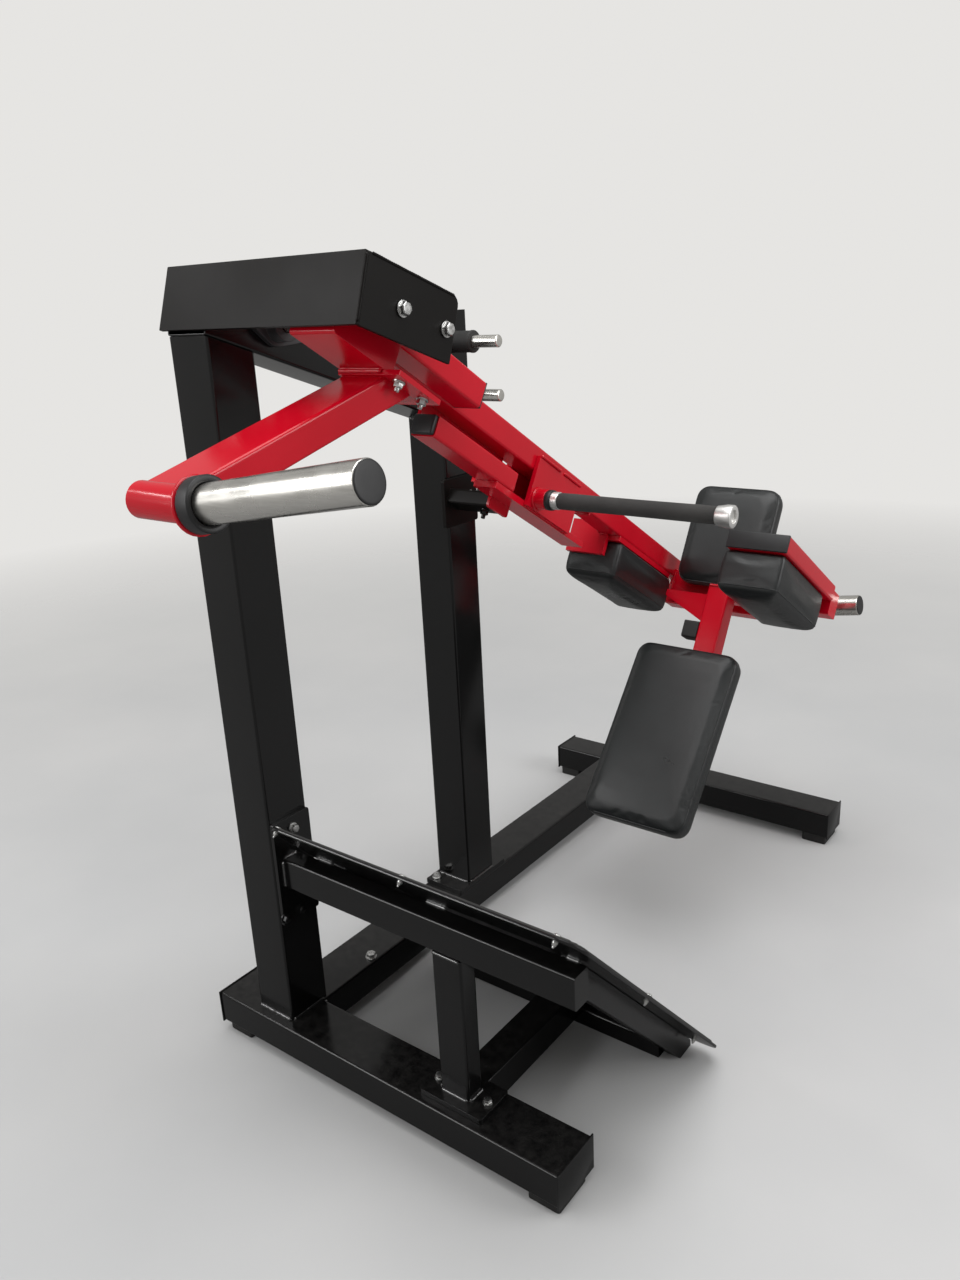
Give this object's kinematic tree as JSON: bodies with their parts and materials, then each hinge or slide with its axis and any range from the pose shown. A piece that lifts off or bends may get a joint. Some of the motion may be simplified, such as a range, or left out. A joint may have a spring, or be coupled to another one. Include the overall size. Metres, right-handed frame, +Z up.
{
  "type": "pendulum squat machine",
  "caption": "Plate-loaded squat machine: a padded arm swings on a high pivot over a sloping foot platform, on a steel floor frame.",
  "frame": {"origin": "middle of the machine's footprint on the floor", "axes": "+Z up, +Y from the foot platform towards the pads and rear beam, +X towards the foot platform's side"},
  "size_m": [0.894, 1.675, 1.4151],
  "materials": {
    "black_paint": "gloss black powder coat",
    "satin_paint": "satin dark grey powder coat",
    "red_paint": "gloss red powder coat",
    "chrome": "polished chrome plate",
    "rubber": "black moulded rubber",
    "tread": "black ribbed rubber sheet",
    "foam": "dark grey foam sleeve",
    "vinyl": "black grained vinyl, sewn",
    "board": "plywood with black backing cloth"
  },
  "bodies": {
    "frame": {"base_strut": "black_paint", "foot_plate": "black_paint", "front_beam": "black_paint", "front_bearing_bolt": "chrome", "front_left_foot": "rubber", "front_post": "black_paint", "front_right_foot": "rubber", "housing_front_plate": "satin_paint", "housing_side_plate": "satin_paint", "housing_top_plate": "satin_paint", "left_bearing": "satin_paint", "left_rail": "black_paint", "lower_band_peg": "chrome", "lower_cross_tube": "black_paint", "platform_leg": "black_paint", "platform_tube": "black_paint", "rear_beam": "black_paint", "rear_bearing_bolt": "chrome", "rear_left_foot": "rubber", "rear_post": "black_paint", "rear_right_foot": "rubber", "right_bearing": "satin_paint", "right_rail": "black_paint", "spine": "black_paint", "stop_bracket": "black_paint", "stop_bumper": "rubber", "top_beam": "black_paint", "tread_sheet": "tread", "upper_band_peg": "chrome"},
    "pendulum": {"hub_box": "red_paint", "pivot_shaft": "chrome", "side_box": "red_paint", "main_arm": "red_paint", "brace_tube": "red_paint", "handle_bracket": "red_paint", "stop_lug": "red_paint", "counter_arm": "red_paint", "counter_barrel": "red_paint", "front_horn": "chrome", "front_disc": "red_paint", "front_collar": "rubber", "handle_bar": "chrome", "handle_grip": "foam", "handle_cap": "chrome", "cross_tube": "red_paint", "side_member": "red_paint", "left_pad_bracket": "red_paint", "left_shoulder_pad": "vinyl", "right_shoulder_pad": "vinyl", "head_pad": "vinyl", "head_pad_board": "board", "back_pad_tube": "red_paint", "back_pad_board": "board", "back_pad_bracket": "red_paint", "back_pad": "vinyl", "rubber_block": "rubber", "rear_carrier": "red_paint", "rear_left_peg": "chrome", "rear_right_peg": "chrome"}
  },
  "joints": [
    {"name": "pendulum_swing", "type": "hinge", "parent": "frame", "child": "pendulum", "pos_m": [0, -0.3995, 1.323], "axis": [1, 0, 0], "range_deg": [0, 40]}
  ]
}
